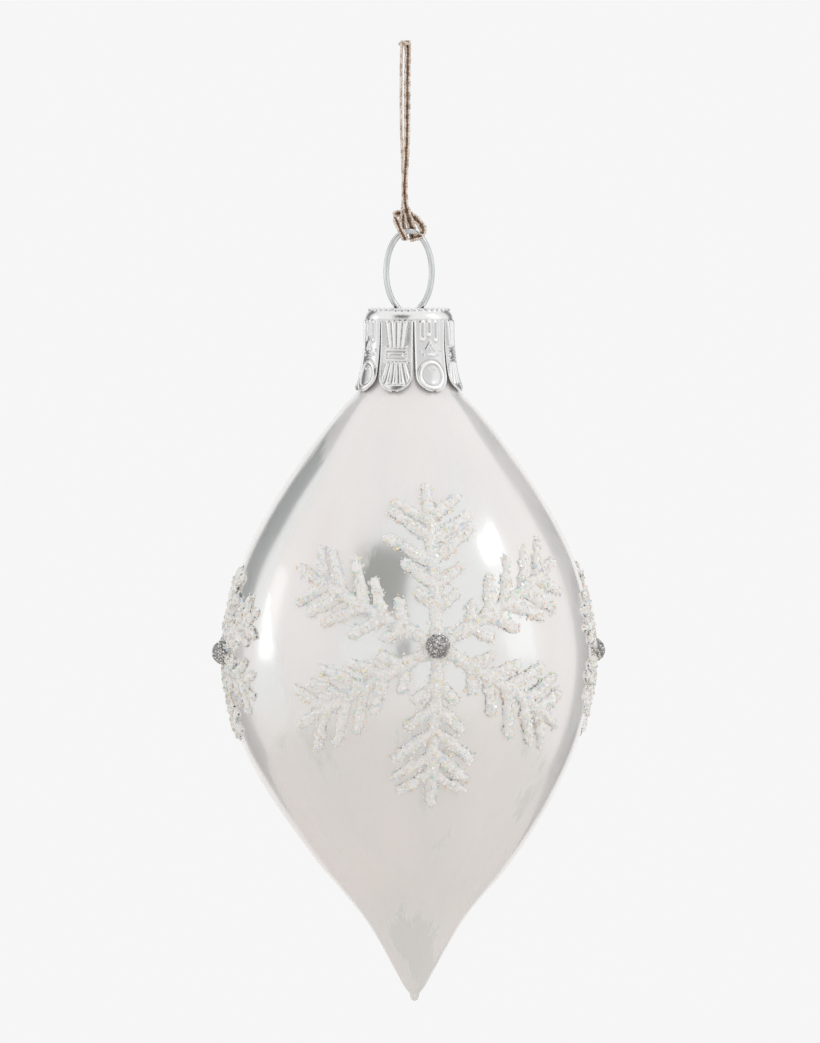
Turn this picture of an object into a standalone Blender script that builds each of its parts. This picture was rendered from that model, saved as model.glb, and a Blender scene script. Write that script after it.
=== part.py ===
"""Blown glass drop ornament: glass, paste snowflakes and jewels, crown cap, spring hanger and cord loop.

Metres, +Z up. The origin is the hook point, on the flat top where the cord's strands are joined. The
front faces -Y, and an azimuth is counted from the front towards +X.
"""

import math

import bmesh
import bpy
from mathutils import Matrix, Vector

MM = 0.001
GAP = 0.3 * MM                      # air between pieces that touch on the real object
WELD = 0.01 * MM                    # points nearer than this are one point
FINE_STEPS = 40                     # curve steps on each span where places are measured along a curve

# Glass drop: outer radius and height down its side, from the neck's mouth to the melted nub
GLASS_PROFILE_MM = [
    (7.7, -54.5), (7.95, -62.0), (8.65, -66.6), (10.0, -69.7), (13.0, -72.9), (18.8, -79.8), (27.3, -92.0),
    (33.2, -104.0), (36.3, -117.0), (36.4, -128.0), (33.7, -140.0), (27.8, -152.0), (19.7, -164.0),
    (9.8, -176.0), (3.9, -186.0), (2.3, -188.9), (1.7, -189.8), (0.95, -190.7), (0.85, -191.4),
    (0.0, -192.2),
]
GLASS_WALL = 0.7 * MM
CAVITY_END_RADIUS = 3.0 * MM        # the drop is solid glass where it is thinner than this
GLASS_SEGMENTS = 32
GLASS_SPAN_STEPS = 2
TIP_LEAN = 1.1 * MM                 # the hand-drawn tip wanders this far towards +X
LEAN_TOP_Z = -135 * MM
LEAN_END_Z = -168 * MM

# Crown cap: outer radius and height from the middle of the top to the petal tips
CAP_PROFILE_MM = [
    (0.0, -53.5), (7.1, -53.5), (8.0, -53.85), (8.6, -54.7), (8.85, -56.0), (8.95, -60.0), (9.25, -63.5),
    (9.85, -67.0), (10.75, -69.75),
]
CAP_SHEET = 0.3 * MM
CAP_SEGMENTS = 48
PETALS = 8
PETAL_TURN = math.radians(6)        # a slit sits this far past the front
PETAL_TIP_RADIUS = 3.4 * MM
PETAL_TIP_Z = -69.8 * MM
PETAL_TIP_STEPS = 4
CAP_LOW_RADIUS = 10.5 * MM          # where the round petal tips are
PETAL_PITCH = 2 * math.pi * CAP_LOW_RADIUS / PETALS
SLIT_TOP_Z = -56.0 * MM
SLIT_TOP_HALF = 0.15 * MM
SLIT_LOW_HALF = 0.35 * MM
SLIT_REACH = (7.5 * MM, 13.0 * MM)  # the slit cutters' inner and outer radius
SLIT_RUN_OUT = 2 * MM               # the slit cutters reach this far below the tips
WIRE_SLOT = (6.8 * MM, 1.9 * MM, 3.0 * MM)

# Spring hanger: one wire, an oval loop with two legs that spring apart in the glass neck
WIRE_DIAMETER = 1.15 * MM
RING_HALF_WIDTH = 4.55 * MM
RING_HALF_HEIGHT = 8.15 * MM
RING_CENTRE_Z = -46.2 * MM
RING_FOOT_DEG = 60                  # the loop turns into a leg this far below its middle
LOOP_STEPS = 24
LEG_ROUTE_MM = [
    (1.6, -54.8), (1.5, -56.4), (2.1, -58.6), (3.6, -62.8), (5.2, -67.5), (6.1, -72.0), (5.7, -75.0),
]
WIRE_SPAN_STEPS = 8
WIRE_SPACING = 1.4 * MM

# Cord: two strands of flat metallic cord from their joined top to a cow hitch on the loop
CORD_X = -0.9 * MM
CORD_DIAMETER = 0.7 * MM
CORD_SPACING = 1.0 * MM
CORD_SPAN_STEPS = 12
KNOT_PROFILE_MM = [(0.0, 0.0), (1.1, 0.0), (1.25, -0.5), (1.0, -1.1), (0.5, -1.45), (0.0, -1.5)]
KNOT_SEGMENTS = 20
KNOT_DEPTH_SHARE = 0.65             # the joined top is this deep for its width
STRAND_LEFT_MM = [
    (-1.5, 0.0, -1.8), (-1.6, 0.1, -9.0), (-1.55, 0.2, -18.0), (-1.2, 0.5, -27.0), (-1.1, 0.55, -30.0),
    (-1.25, 0.5, -33.3),
]
STRAND_RIGHT_MM = [
    (-0.25, 0.0, -1.8), (-0.35, 0.0, -10.0), (-0.4, -0.2, -19.0), (-0.8, -0.5, -27.0), (-0.9, -0.5, -30.0),
    (-0.6, -0.4, -33.3),
]
HITCH_MM = [
    (-1.25, 0.5, -33.7), (-1.3, 0.9, -36.0), (-1.1, 1.4, -38.3), (-0.8, 0.5, -39.6), (-0.9, -0.6, -39.5),
    (-1.5, -1.4, -38.2), (-2.4, -1.3, -36.3), (-2.8, -0.1, -34.9), (-2.2, 1.4, -34.5), (-0.9, 1.75, -34.7),
    (0.3, 1.5, -34.9), (1.4, 0.9, -35.7), (2.3, -0.1, -36.7), (2.8, -1.2, -38.0), (2.2, -1.55, -38.95),
    (1.1, -0.7, -39.4), (0.8, 0.5, -39.4), (0.7, 1.3, -38.2), (0.1, 0.8, -36.0), (-0.6, -0.4, -33.7),
]
RING_PIVOT_Z = -38.4 * MM

# Snowflakes of piped paste, one on each quarter of the belly, and the jewel in the middle of each
FLAKE_TURN_DEG = 8.8
PASTE_THICKNESS = 0.8 * MM
BARB_ANGLE = math.radians(52)
TIP_ARC_STEPS = 2
ARMS = 6
LAY_SPACING = 0.25 * MM             # steps along the glass that places on it are read from
SLICE_PITCH = 6.0 * MM              # plates are sliced this finely before they wrap round the glass
LARGE_FLAKE = {
    "centre_z": -119.5 * MM, "arm": 33.0 * MM, "hub": 3.4 * MM, "width": 2.3 * MM,
    "barbs": [(0.23, 0.15), (0.37, 0.21), (0.51, 0.29), (0.65, 0.28), (0.79, 0.23)],
}
SMALL_FLAKE = {
    "centre_z": -122.0 * MM, "arm": 17.0 * MM, "hub": 2.4 * MM, "width": 2.0 * MM,
    "barbs": [(0.30, 0.22), (0.52, 0.34), (0.74, 0.30)],
}
FLAKES = {
    "front": (0, LARGE_FLAKE),
    "right": (90, SMALL_FLAKE),
    "back": (180, LARGE_FLAKE),
    "left": (270, SMALL_FLAKE),
}
JEWEL_RADIUS = 2.4 * MM
JEWEL_HEIGHT = 1.8 * MM
JEWEL_SEGMENTS = 16
JEWEL_RINGS = 5


def clear_scene():
    for thing in list(bpy.data.objects):
        bpy.data.objects.remove(thing, do_unlink=True)


def new_collection(name):
    group = bpy.data.collections.new(name)
    bpy.context.scene.collection.children.link(group)
    return group


def make_material(name, colour, roughness, metallic):
    material = bpy.data.materials.new(name)
    material.use_nodes = True
    shader = material.node_tree.nodes["Principled BSDF"]
    shader.inputs["Base Color"].default_value = (*colour, 1.0)
    shader.inputs["Roughness"].default_value = roughness
    shader.inputs["Metallic"].default_value = metallic
    return material


def add_mesh_object(name, mesh, collection, material=None):
    thing = bpy.data.objects.new(name, mesh)
    collection.objects.link(thing)
    if material is not None:
        mesh.materials.append(material)
    return thing


def add_pivot(name, place, parent, collection):
    pivot = bpy.data.objects.new(name, None)
    pivot.empty_display_size = 3 * MM
    pivot.location = Vector(place)
    collection.objects.link(pivot)
    if parent is not None:
        hang_on(pivot, parent)
    return pivot


def hang_on(thing, pivot):
    """Parent a thing to a pivot and leave it where it is in the world."""
    bpy.context.view_layer.update()
    thing.parent = pivot
    thing.matrix_parent_inverse = pivot.matrix_world.inverted()


def catmull_rom(points, steps):
    """A centripetal Catmull-Rom curve through the points, with this many steps on each span."""
    knots = [Vector(point) for point in points]
    knots = [2 * knots[0] - knots[1]] + knots + [2 * knots[-1] - knots[-2]]
    curve = []
    for p0, p1, p2, p3 in zip(knots, knots[1:], knots[2:], knots[3:]):
        t1 = (p1 - p0).length ** 0.5
        t2 = t1 + (p2 - p1).length ** 0.5
        t3 = t2 + (p3 - p2).length ** 0.5
        for step in range(steps):
            t = t1 + (t2 - t1) * step / steps
            a1 = p0 + (p1 - p0) * (t / t1)
            a2 = p1 + (p2 - p1) * ((t - t1) / (t2 - t1))
            a3 = p2 + (p3 - p2) * ((t - t2) / (t3 - t2))
            b1 = a1 + (a2 - a1) * (t / t2)
            b2 = a2 + (a3 - a2) * ((t - t1) / (t3 - t1))
            curve.append(b1 + (b2 - b1) * ((t - t1) / (t2 - t1)))
    curve.append(knots[-2])
    return curve


def even_points(curve, spacing):
    """Points an even distance apart along a polyline, both ends kept."""
    lengths = [0.0]
    for start, end in zip(curve, curve[1:]):
        lengths.append(lengths[-1] + (end - start).length)
    count = max(2, round(lengths[-1] / spacing))
    places = []
    span = 0
    for step in range(count + 1):
        target = lengths[-1] * step / count
        while span < len(curve) - 2 and lengths[span + 1] < target:
            span += 1
        share = (target - lengths[span]) / (lengths[span + 1] - lengths[span])
        places.append(curve[span].lerp(curve[span + 1], min(1.0, share)))
    return places


def in_metres(points_mm):
    return [Vector(point) * MM for point in points_mm]


def tube(name, route, diameter, collection, material):
    """A round wire or cord along a route, with closed ends."""
    data = bpy.data.curves.new(name, "CURVE")
    data.dimensions = "3D"
    data.bevel_depth = diameter / 2
    data.bevel_resolution = 2
    data.use_fill_caps = True
    spline = data.splines.new("POLY")
    spline.points.add(len(route) - 1)
    for point, place in zip(spline.points, route):
        point.co = (*place, 1.0)
    data.materials.append(material)
    thing = bpy.data.objects.new(name, data)
    collection.objects.link(thing)
    return thing


def lathe(name, profile, segments, collection, material=None):
    """Turn a profile of (radius, height) points about Z. It runs down the outer side."""
    mesh = bpy.data.meshes.new(name)
    points = [(radius, 0.0, height) for radius, height in profile]
    mesh.from_pydata(points, [(step, step + 1) for step in range(len(points) - 1)], [])
    thing = add_mesh_object(name, mesh, collection, material)
    screw = thing.modifiers.new("turn", "SCREW")
    screw.steps = segments
    screw.render_steps = segments
    screw.use_merge_vertices = True
    screw.merge_threshold = WELD
    screw.use_smooth_shade = True
    return thing


def apply_modifiers(thing):
    """Give an object its own evaluated mesh in place of its modifiers."""
    bpy.context.view_layer.update()
    evaluated = thing.evaluated_get(bpy.context.evaluated_depsgraph_get())
    mesh = bpy.data.meshes.new_from_object(evaluated)
    thing.modifiers.clear()
    thing.data = mesh


def flat_plate(name, outline, thickness, collection):
    """A closed plate in the XY plane, centred on it, from a closed outline of (x, y) points."""
    data = bpy.data.curves.new(name, "CURVE")
    data.dimensions = "2D"
    data.fill_mode = "BOTH"
    data.extrude = thickness / 2
    spline = data.splines.new("POLY")
    spline.points.add(len(outline) - 1)
    spline.use_cyclic_u = True
    for point, (x, y) in zip(spline.points, outline):
        point.co = (x, y, 0.0, 1.0)
    guide = bpy.data.objects.new(name + "_outline", data)
    collection.objects.link(guide)
    bpy.context.view_layer.update()
    evaluated = guide.evaluated_get(bpy.context.evaluated_depsgraph_get())
    mesh = bpy.data.meshes.new_from_object(evaluated)
    bpy.data.objects.remove(guide, do_unlink=True)
    shape = bmesh.new()
    shape.from_mesh(mesh)
    bmesh.ops.remove_doubles(shape, verts=shape.verts, dist=WELD)
    bmesh.ops.recalc_face_normals(shape, faces=shape.faces)
    shape.to_mesh(mesh)
    shape.free()
    return mesh


def glass_lean(height):
    """How far the drawn glass has wandered towards +X at a height."""
    share = (LEAN_TOP_Z - height) / (LEAN_TOP_Z - LEAN_END_Z)
    share = min(1.0, max(0.0, share))
    return TIP_LEAN * share * share * (3 - 2 * share)


def glass_outline():
    return catmull_rom(in_metres(GLASS_PROFILE_MM), GLASS_SPAN_STEPS)


def glass_cavity(outer):
    """The inner side of the wall, from the bottom of the cavity up to the mouth."""
    inner = [Vector((outer[0].x - GLASS_WALL, outer[0].y))]
    for before, here, after in zip(outer, outer[1:], outer[2:]):
        if here.x > CAVITY_END_RADIUS:
            along = (after - before).normalized()
            inner.append(here + GLASS_WALL * Vector((along.y, -along.x)))
    inner.append(Vector((0.0, inner[-1].y - GLASS_WALL)))
    return inner[::-1]


def make_glass(collection):
    outer = glass_outline()
    profile = glass_cavity(outer) + outer
    material = make_material("silvered_glass", (0.88, 0.87, 0.87), 0.12, 0.6)
    glass = lathe("glass_drop", profile, GLASS_SEGMENTS, collection, material)
    apply_modifiers(glass)
    for vertex in glass.data.vertices:
        vertex.co.x += glass_lean(vertex.co.z)
    return glass


def surface_point(azimuth, along, outward, centre_z, lift):
    """Place on the glass: azimuth, distance along its side up from centre_z, and height above it."""
    curve = lift["curve"]
    target = lift["length_at"](centre_z) - along
    span = max(0, min(len(curve) - 2, int(target / lift["step"])))
    share = target / lift["step"] - span
    spot = curve[span] + (curve[span + 1] - curve[span]) * share
    side = (curve[span + 1] - curve[span]).normalized()
    spot = spot + outward * Vector((-side.y, side.x))
    x = spot.x * math.sin(azimuth) + glass_lean(spot.y)
    return Vector((x, -spot.x * math.cos(azimuth), spot.y))


def glass_lift():
    """The glass outline at even steps, for laying things on it."""
    dense = catmull_rom(in_metres(GLASS_PROFILE_MM), FINE_STEPS)
    curve = even_points(dense, LAY_SPACING)
    step = (curve[1] - curve[0]).length

    def length_at(height):
        spot = min(range(len(curve)), key=lambda index: abs(curve[index].y - height))
        return spot * step

    def radius_at(height):
        return min(curve, key=lambda spot: abs(spot.y - height)).x

    return {"curve": curve, "step": step, "length_at": length_at, "radius_at": radius_at}


def barb_outline(root, length, width, half_spine):
    """One side barb's edge, from the spine round its tip and back, in the arm's own frame."""
    cos, sin = math.cos(BARB_ANGLE), math.sin(BARB_ANGLE)
    along = Vector((cos, sin))
    across = Vector((sin, -cos))
    half = width / 2
    start = Vector((root, 0.0))
    near = start - half * across + along * ((half_spine - half * cos) / sin)
    far = start + half * across + along * ((half_spine + half * cos) / sin)
    middle = start + along * (length - half)
    points = [near]
    for step in range(TIP_ARC_STEPS + 1):
        angle = math.pi * step / TIP_ARC_STEPS
        points.append(middle + half * (along * math.sin(angle) - across * math.cos(angle)))
    points.append(far)
    return points


def arm_side(flake):
    """The left edge of one arm, from the hub to just before the tip."""
    half_spine = flake["width"] / 2
    points = []
    for root, length in flake["barbs"]:
        points += barb_outline(root * flake["arm"], length * flake["arm"], flake["width"], half_spine)
    points.append(Vector((flake["arm"] - half_spine, half_spine)))
    return points


def flake_outline(flake):
    """The closed outline of six barbed arms about the origin, one of them straight up."""
    left = arm_side(flake)
    right = [Vector((point.x, -point.y)) for point in left]
    arm = right + [Vector((flake["arm"], 0.0))] + left[::-1]
    outline = []
    arm_angle = 2 * math.pi / ARMS
    for turn in range(ARMS):
        angle = math.pi / 2 + arm_angle * turn
        cos, sin = math.cos(angle), math.sin(angle)
        outline += [(cos * point.x - sin * point.y, sin * point.x + cos * point.y) for point in arm]
        notch = angle + arm_angle / 2
        outline.append((flake["hub"] * math.cos(notch), flake["hub"] * math.sin(notch)))
    return outline


def slice_mesh(shape, reach):
    """Cut a mesh by even planes across X and Y so that it can bend."""
    count = math.ceil(reach / SLICE_PITCH)
    for axis in (Vector((1, 0, 0)), Vector((0, 1, 0))):
        for step in range(-count, count + 1):
            everything = shape.verts[:] + shape.edges[:] + shape.faces[:]
            place = axis * (step * SLICE_PITCH)
            bmesh.ops.bisect_plane(shape, geom=everything, dist=WELD / 10, plane_co=place, plane_no=axis)


def make_snowflake(name, azimuth, flake, lift, collection, material):
    """A plate of paste wrapped round the glass, one gap above it."""
    mesh = flat_plate(name, flake_outline(flake), PASTE_THICKNESS, collection)
    shape = bmesh.new()
    shape.from_mesh(mesh)
    slice_mesh(shape, flake["arm"])
    bmesh.ops.triangulate(shape, faces=shape.faces)
    middle = GAP + PASTE_THICKNESS / 2
    for vertex in shape.verts:
        across, along, outward = vertex.co
        flat = surface_point(0.0, along, 0.0, flake["centre_z"], lift)
        turn = azimuth + across / lift["radius_at"](flat.z)
        vertex.co = surface_point(turn, along, middle + outward, flake["centre_z"], lift)
    shape.to_mesh(mesh)
    shape.free()
    return add_mesh_object(name, mesh, collection, material)


def make_jewel(name, azimuth, flake, lift, collection, material):
    """A low dome that stands on the middle of a snowflake."""
    profile = [(0.0, JEWEL_HEIGHT)]
    for ring in range(1, JEWEL_RINGS + 1):
        angle = math.pi / 2 * ring / JEWEL_RINGS
        profile.append((JEWEL_RADIUS * math.sin(angle), JEWEL_HEIGHT * math.cos(angle)))
    profile.append((0.0, 0.0))
    jewel = lathe(name, profile, JEWEL_SEGMENTS, collection, material)
    height = flake["centre_z"]
    foot = surface_point(azimuth, 0.0, 2 * GAP + PASTE_THICKNESS, height, lift)
    top = surface_point(azimuth, 0.0, 2 * GAP + PASTE_THICKNESS + JEWEL_HEIGHT, height, lift)
    turn = (top - foot).to_track_quat("Z", "Y").to_matrix().to_4x4()
    jewel.matrix_world = Matrix.Translation(foot) @ turn
    return jewel


def slit_outline():
    """The slit between two petals, which opens out round their tips. X is sideways and Y is height."""
    tip_x = PETAL_PITCH / 2
    tip_y = PETAL_TIP_Z + PETAL_TIP_RADIUS
    right = [(SLIT_TOP_HALF, SLIT_TOP_Z), (SLIT_LOW_HALF, tip_y + PETAL_TIP_RADIUS / 2)]
    for step in range(PETAL_TIP_STEPS + 1):
        angle = math.pi + math.pi / 2 * step / PETAL_TIP_STEPS
        right.append((
            tip_x + PETAL_TIP_RADIUS * math.cos(angle),
            tip_y + PETAL_TIP_RADIUS * math.sin(angle),
        ))
    right.append((tip_x, PETAL_TIP_Z - SLIT_RUN_OUT))
    left = [(-x, y) for x, y in right[::-1]]
    return left + right


def make_slit_cutter(name, azimuth, collection):
    inner, outer = SLIT_REACH
    mesh = flat_plate(name, slit_outline(), outer - inner, collection)
    cutter = add_mesh_object(name, mesh, collection)
    stand_up = Matrix.Rotation(math.pi / 2, 4, "X")
    outward = Matrix.Translation((0.0, -(inner + outer) / 2, 0.0))
    cutter.matrix_world = Matrix.Rotation(azimuth, 4, "Z") @ outward @ stand_up
    return cutter


def make_slot_cutter(name, collection):
    mesh = bpy.data.meshes.new(name)
    shape = bmesh.new()
    bmesh.ops.create_cube(shape, size=1.0)
    bmesh.ops.scale(shape, vec=WIRE_SLOT, verts=shape.verts)
    shape.to_mesh(mesh)
    shape.free()
    cutter = add_mesh_object(name, mesh, collection)
    cutter.location = (0.0, 0.0, CAP_PROFILE_MM[0][1] * MM)
    return cutter


def make_cap(collection, cutters):
    material = make_material("stamped_cap_metal", (0.82, 0.82, 0.84), 0.2, 1.0)
    cap = lathe("crown_cap", in_metres(CAP_PROFILE_MM), CAP_SEGMENTS, collection, material)
    sheet = cap.modifiers.new("sheet", "SOLIDIFY")
    sheet.thickness = CAP_SHEET
    sheet.offset = -1.0
    tools = [make_slot_cutter("wire_slot_cutter", cutters)]
    for petal in range(PETALS):
        azimuth = PETAL_TURN + 2 * math.pi * petal / PETALS
        tools.append(make_slit_cutter(f"petal_slit_cutter_{petal + 1}", azimuth, cutters))
    for tool in tools:
        tool.hide_render = True
        tool.display_type = "WIRE"
        cut = cap.modifiers.new("cut", "BOOLEAN")
        cut.operation = "DIFFERENCE"
        cut.solver = "EXACT"
        cut.object = tool
    return cap


def hanger_route():
    """The wire's centreline, from the left leg's foot over the loop to the right leg's foot."""
    loop = []
    first = -90 - (90 - RING_FOOT_DEG)
    last = -90 + (90 - RING_FOOT_DEG) - 360
    for step in range(LOOP_STEPS + 1):
        angle = math.radians(first + (last - first) * step / LOOP_STEPS)
        x = RING_HALF_WIDTH * math.cos(angle)
        z = RING_CENTRE_Z + RING_HALF_HEIGHT * math.sin(angle)
        loop.append(Vector((x, 0.0, z)))
    leg = [Vector((x, 0.0, z)) * MM for x, z in LEG_ROUTE_MM]
    left_leg = [Vector((-spot.x, 0.0, spot.z)) for spot in leg[::-1]]
    return even_points(catmull_rom(left_leg + loop + leg, WIRE_SPAN_STEPS), WIRE_SPACING)


def make_hanger(collection):
    material = make_material("bright_wire", (0.8, 0.81, 0.83), 0.15, 1.0)
    return tube("hanger_wire", hanger_route(), WIRE_DIAMETER, collection, material)


def make_cord(name, route_mm, collection, material):
    route = even_points(catmull_rom(in_metres(route_mm), CORD_SPAN_STEPS), CORD_SPACING)
    return tube(name, route, CORD_DIAMETER, collection, material)


def make_knot(collection, material):
    """The bound top of the two strands, cut flat at the hook point and deeper across than through."""
    knot = lathe("cord_knot", in_metres(KNOT_PROFILE_MM), KNOT_SEGMENTS, collection, material)
    knot.location = (CORD_X, 0.0, 0.0)
    knot.scale = (1.0, KNOT_DEPTH_SHARE, 1.0)
    return knot


def build():
    clear_scene()
    parts = new_collection("drop_ornament")
    cutters = new_collection("cutters")

    hook = add_pivot("hook_pivot", (CORD_X, 0.0, 0.0), None, parts)
    twist = add_pivot("twist_pivot", (CORD_X, 0.0, HITCH_MM[0][2] * MM), hook, parts)
    ring = add_pivot("ring_pivot", (0.0, 0.0, RING_PIVOT_Z), twist, parts)
    cap_seat = add_pivot("cap_seat", (0.0, 0.0, CAP_PROFILE_MM[0][1] * MM), ring, parts)
    glass_seat = add_pivot("glass_seat", (0.0, 0.0, GLASS_PROFILE_MM[0][1] * MM), cap_seat, parts)

    cord_material = make_material("metallic_cord", (0.60, 0.45, 0.35), 0.45, 0.6)
    make_knot(parts, cord_material)
    hang_on(make_cord("cord_strand_left", STRAND_LEFT_MM, parts, cord_material), hook)
    hang_on(make_cord("cord_strand_right", STRAND_RIGHT_MM, parts, cord_material), hook)
    hang_on(make_cord("cord_hitch", HITCH_MM, parts, cord_material), twist)
    hang_on(make_hanger(parts), ring)
    hang_on(make_cap(parts, cutters), cap_seat)
    hang_on(make_glass(parts), glass_seat)

    lift = glass_lift()
    paste = make_material("glitter_paste", (0.86, 0.85, 0.84), 0.6, 0.0)
    jewel_material = make_material("silver_glitter", (0.35, 0.34, 0.33), 0.3, 0.8)
    for side, (quarter, flake) in FLAKES.items():
        azimuth = math.radians(FLAKE_TURN_DEG + quarter)
        hang_on(make_snowflake("snowflake_" + side, azimuth, flake, lift, parts, paste), glass_seat)
        hang_on(make_jewel("jewel_" + side, azimuth, flake, lift, parts, jewel_material), glass_seat)


build()
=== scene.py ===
"""Looks for the blown glass drop ornament: pearl glass, glitter snowflakes, stamped cap, wire and cord."""

import math
import random

import bpy
import numpy as np
from mathutils import Matrix, Vector, noise


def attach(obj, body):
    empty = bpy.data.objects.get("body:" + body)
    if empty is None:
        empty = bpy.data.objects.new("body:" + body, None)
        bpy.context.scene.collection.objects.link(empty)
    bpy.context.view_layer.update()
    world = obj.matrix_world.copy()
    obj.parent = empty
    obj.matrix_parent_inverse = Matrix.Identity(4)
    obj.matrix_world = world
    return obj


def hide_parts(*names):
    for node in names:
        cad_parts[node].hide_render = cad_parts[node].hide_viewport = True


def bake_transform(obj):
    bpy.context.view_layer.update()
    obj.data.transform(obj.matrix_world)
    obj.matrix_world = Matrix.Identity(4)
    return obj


MM = 0.001
CURVE_STEPS = 40                    # curve steps on each span of the glass outline
SIDE_STEP = 0.1 * MM                # the spacing of the places that things on the glass are laid from
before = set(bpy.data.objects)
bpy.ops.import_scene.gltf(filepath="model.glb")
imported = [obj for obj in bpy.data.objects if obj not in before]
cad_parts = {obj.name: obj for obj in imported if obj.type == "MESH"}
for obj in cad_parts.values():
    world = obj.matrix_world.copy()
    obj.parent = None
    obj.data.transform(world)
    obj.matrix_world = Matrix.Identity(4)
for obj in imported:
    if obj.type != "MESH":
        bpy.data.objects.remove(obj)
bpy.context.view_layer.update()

# Glass drop: outer radius and height down its side, from the neck's mouth to the melted nub
GLASS_PROFILE_MM = [
    (7.7, -54.5), (7.95, -62.0), (8.65, -66.6), (10.0, -69.7), (13.0, -72.9), (18.8, -79.8), (27.3, -92.0),
    (33.2, -104.0), (36.3, -117.0), (36.4, -128.0), (33.7, -140.0), (27.8, -152.0), (19.7, -164.0),
    (9.8, -176.0), (3.9, -186.0), (2.3, -188.9), (1.7, -189.8), (0.95, -190.7), (0.85, -191.4),
    (0.6, -191.95), (0.0, -192.2),
]
GLASS_WALL = 0.7 * MM
GLASS_RING_PITCH = 0.7 * MM
GLASS_SEGMENTS = 160
CAVITY_END_RADIUS = 3 * MM          # the drop is solid glass where it is thinner than this
CAVITY_FLOOR_RADIUS = 0.0002 * MM   # the two ends close on rings too small to see
NUB_END_RADIUS = 0.02 * MM
BELLY_RADIUS = 36.4 * MM
WAVE_HEIGHT = 0.22 * MM             # slow waves of hand-blown glass, which die out towards the axis
WAVE_ROUND = 1.1
WAVE_ALONG = 28
WAVE_FULL_RADIUS = 20 * MM
TIP_LEAN = 1.1 * MM
LEAN_TOP_Z = -135 * MM
LEAN_END_Z = -168 * MM

# Snowflakes: how far the set is turned, and each size's arms, as shares of the arm's length
FLAKE_TURN_DEG = 8.8
BARB_ANGLE = math.radians(52)
LARGE_FLAKE = {
    "centre_z": -119.5 * MM, "arm": 33.0 * MM, "hub": 3.3 * MM, "width": 2.4 * MM, "grains": 5600,
    "barbs": [(0.23, 0.15), (0.37, 0.21), (0.51, 0.29), (0.65, 0.28), (0.79, 0.23)],
}
SMALL_FLAKE = {
    "centre_z": -122.0 * MM, "arm": 17.0 * MM, "hub": 2.7 * MM, "width": 2.1 * MM, "grains": 2300,
    "barbs": [(0.30, 0.22), (0.52, 0.34), (0.74, 0.30)],
}
FLAKES = {
    "front": (0, LARGE_FLAKE),
    "right": (90, SMALL_FLAKE),
    "back": (180, LARGE_FLAKE),
    "left": (270, SMALL_FLAKE),
}
DICE_SEED = 17
ARMS = 6
ARM_TURN_DEG = 1.5                  # how unevenly the arms are piped
ARM_LEAST_SHARE = 0.97
BARB_TURN_DEG = 6
BARB_SLIP = 0.012
BARB_REACH = (0.9, 1.06)
ARM_STROKE = (0.55, 0.46)           # half width at a stroke's start and end, as shares of the flake's width
BARB_STROKE = (0.50, 0.44)
HUB_STROKE = 0.95
HUB_LENGTH = 1e-5
STROKE_BEAD = (0.10, 0.9 * MM)      # how much a stroke swells and shrinks, and over what length
STROKE_BEAD_SHIFT = 9000
PASTE_ROUNDNESS = 0.78
PASTE_MARGIN = 2 * MM
PASTE_KEPT = -0.5                   # the skin ends where the height falls to this
PASTE_WARP = (700, 0.5 * MM)        # how fine and how strong the wobble of the piping is
PASTE_LUMPS = (1500, 0.45)
GLITTER_SIZE = (0.12 * MM, 0.30 * MM)
GLITTER_ON_PASTE = 0.12
GLITTER_BESIDE = (-0.9, -0.05)
GLITTER_SPILT = 5                   # one grain is spilt beside the paste for this many on it
GLITTER_LIFT = 0.05 * MM
GLITTER_THICKNESS = 0.05 * MM
GLITTER_TILT = 0.6
PASTE_CELL = 0.28 * MM
PASTE_SINK = 0.3 * MM
PASTE_HEIGHT = 0.85 * MM
JEWEL_RADIUS = 2.4 * MM
JEWEL_BASE = 0.5 * MM
JEWEL_HEIGHT = 2.5 * MM
JEWEL_RINGS = 14
JEWEL_COLUMNS = 40
JEWEL_TOP_SHARE = 0.03              # the first ring's share of the way down, so that it isn't a point
JEWEL_FULLNESS = 0.9
JEWEL_GRAINS = 520
JEWEL_GRAIN_SIZE = (0.13 * MM, 0.26 * MM)
JEWEL_GRAIN_THICKNESS = 0.04 * MM

# Crown cap
CAP_PROFILE_MM = [
    (0.0, -53.5), (7.1, -53.5), (8.0, -53.85), (8.6, -54.7), (8.85, -56.0), (8.95, -60.0), (9.25, -63.5),
    (9.85, -67.0), (10.75, -69.75),
]
CAP_SHEET = 0.25 * MM
CAP_ROW_PITCH = 0.14 * MM
CAP_SPAN_STEPS = 24
CAP_MIDDLE_RADIUS = 0.3 * MM
CAP_RIM_MM = (7.75, -53.75)
RIM_BEADS = 36
RIM_BEAD_RADIUS = 0.45 * MM
RIM_BEAD_RISE = 0.35 * MM
WIRE_SLOT_HALF = (3.4 * MM, 0.95 * MM)
PETALS = 8
PETAL_COLUMNS = 56
PETAL_TURN = math.radians(6)
PETAL_TOP_Z = -55.4 * MM
PETAL_TIP_Z = -69.8 * MM
PETAL_TIP_RADIUS = 3.4 * MM
PETAL_ROUND = 10.5 * MM
SLIT_TOP_Z = -56.0 * MM
SLIT_TOP_HALF = 0.15 * MM
SLIT_LOW_HALF = 0.35 * MM
EMBOSS = 0.42 * MM
EMBOSS_FADE_MM = 0.4                # the stamping fades in over this much of the petal's top
# The relief also sets the cap's painted shade: the lower it is, the darker the sheet is coloured.
PLAIN_RELIEF = 0.8
RIM_RELIEF = 0.3
PETAL_GROOVE_MM = (0.5, 0.2)        # how far in from the petal's edge, and half its width
PETAL_GROOVE_DEPTH = 0.6
PETAL_BORDER_MM = 0.42

# Stamped designs, in mm across the petal and down it. A feature is a raised line, or a groove when it has
# a depth: start, end, half width, depth, and the power that rounds it.
FLUTE_GAP = 0.35
FAN_RELIEF = 0.5
FAN_TIP_RELIEF = 0.8
FAN_TIP_MM = 13.2
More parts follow.
